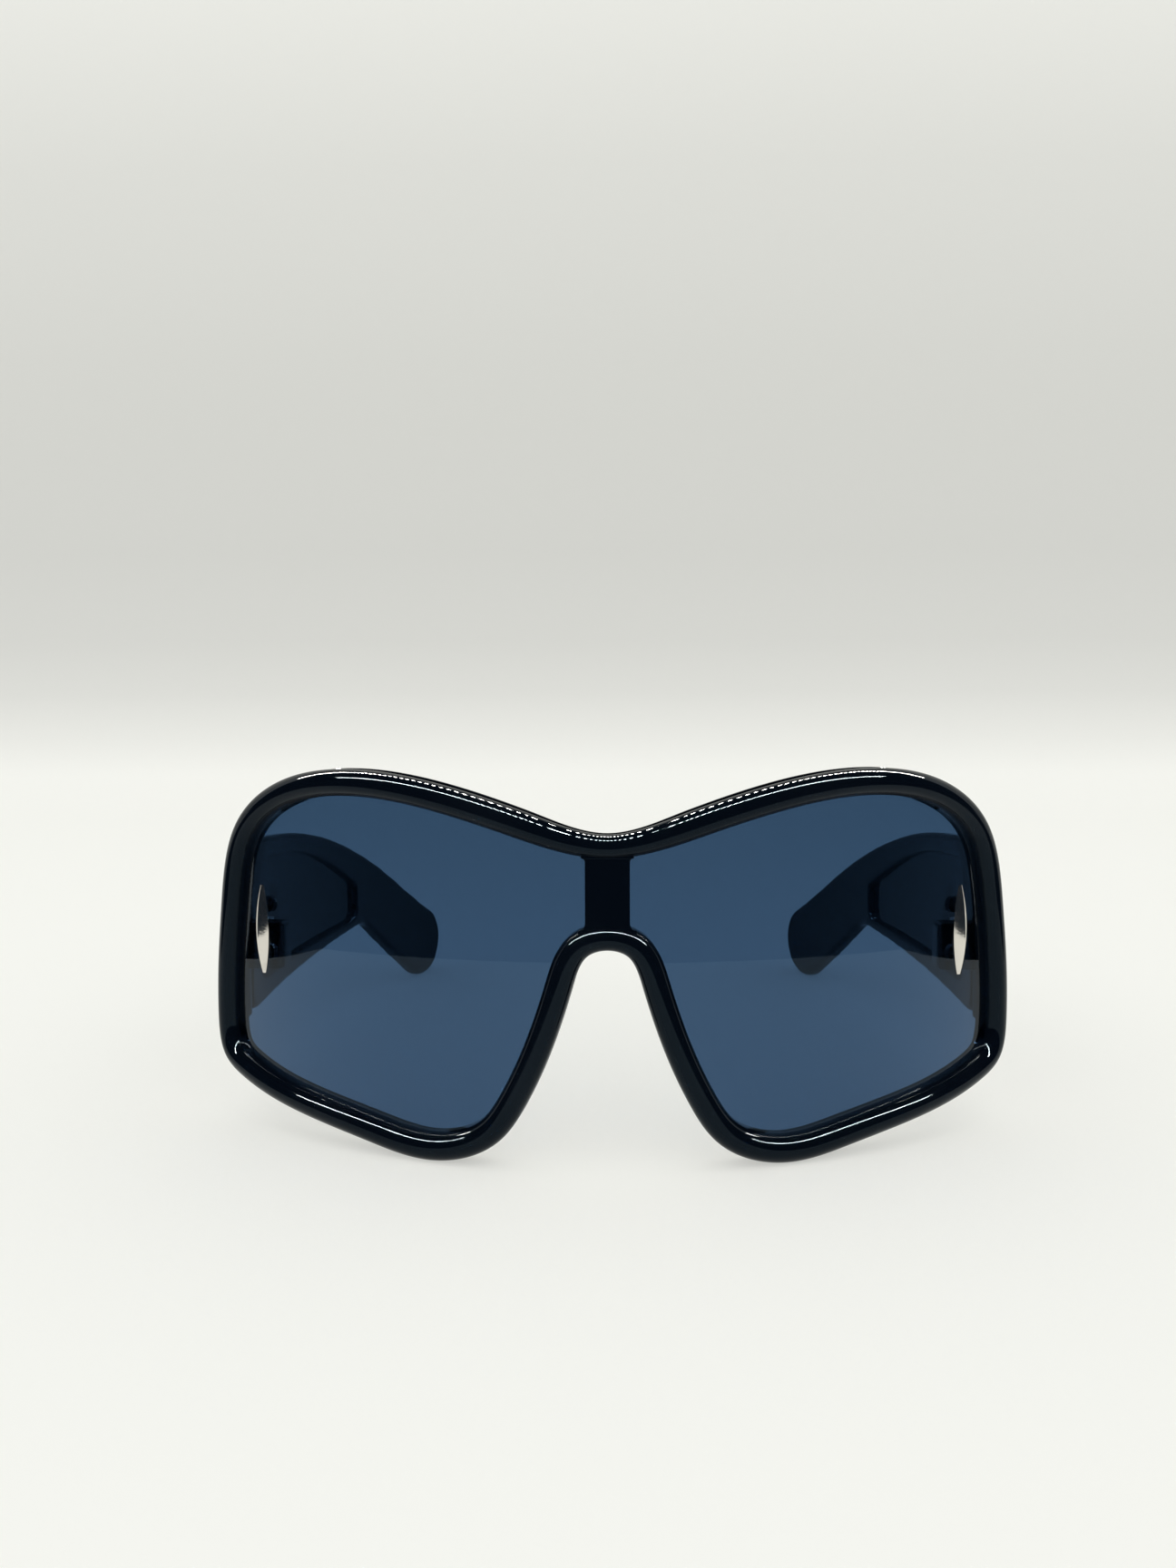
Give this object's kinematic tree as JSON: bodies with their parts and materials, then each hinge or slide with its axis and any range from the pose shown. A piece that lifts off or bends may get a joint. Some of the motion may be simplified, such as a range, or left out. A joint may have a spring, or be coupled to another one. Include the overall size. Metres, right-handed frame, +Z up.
{
  "type": "shield sunglasses",
  "caption": "Wraparound shield sunglasses: one tinted pane in a rounded rim with a centre strut, metal studs on the pane and broad folding temples.",
  "frame": {"origin": "middle of the footprint, on the table that the open sunglasses stand on", "axes": "+Z up, the front faces -Y, the temples run to +Y, +X is the wearer's left"},
  "size_m": [0.15, 0.152, 0.067],
  "materials": {
    "frame_plastic": "polished navy-black moulded plastic",
    "temple_plastic": "polished navy-black moulded plastic",
    "lens_tint": "smooth blue-grey tinted pane",
    "stud_metal": "polished warm silver metal",
    "retainer_plastic": "dark push-on collar",
    "hinge_steel": "stamped nickel-plated hinge leaf",
    "screw_steel": "turned bright screw"
  },
  "bodies": {
    "front": {"front_frame": "frame_plastic", "shield_lens": "lens_tint", "left_plaque": "stud_metal", "right_plaque": "stud_metal", "left_plaque_retainers": "retainer_plastic", "right_plaque_retainers": "retainer_plastic", "left_front_hinge": "hinge_steel", "right_front_hinge": "hinge_steel", "left_hinge_screw": "screw_steel", "right_hinge_screw": "screw_steel"},
    "left_arm": {"left_temple": "temple_plastic", "left_temple_hinge": "hinge_steel"},
    "right_arm": {"right_temple": "temple_plastic", "right_temple_hinge": "hinge_steel"}
  },
  "joints": [
    {"name": "left_fold", "type": "hinge", "parent": "front", "child": "left_arm", "pos_m": [0.067, -0.0378, 0.03185], "axis": [0, 0, 1], "range_deg": [0, 90]},
    {"name": "right_fold", "type": "hinge", "parent": "front", "child": "right_arm", "pos_m": [-0.067, -0.0378, 0.03185], "axis": [0, 0, -1], "range_deg": [0, 78]}
  ]
}
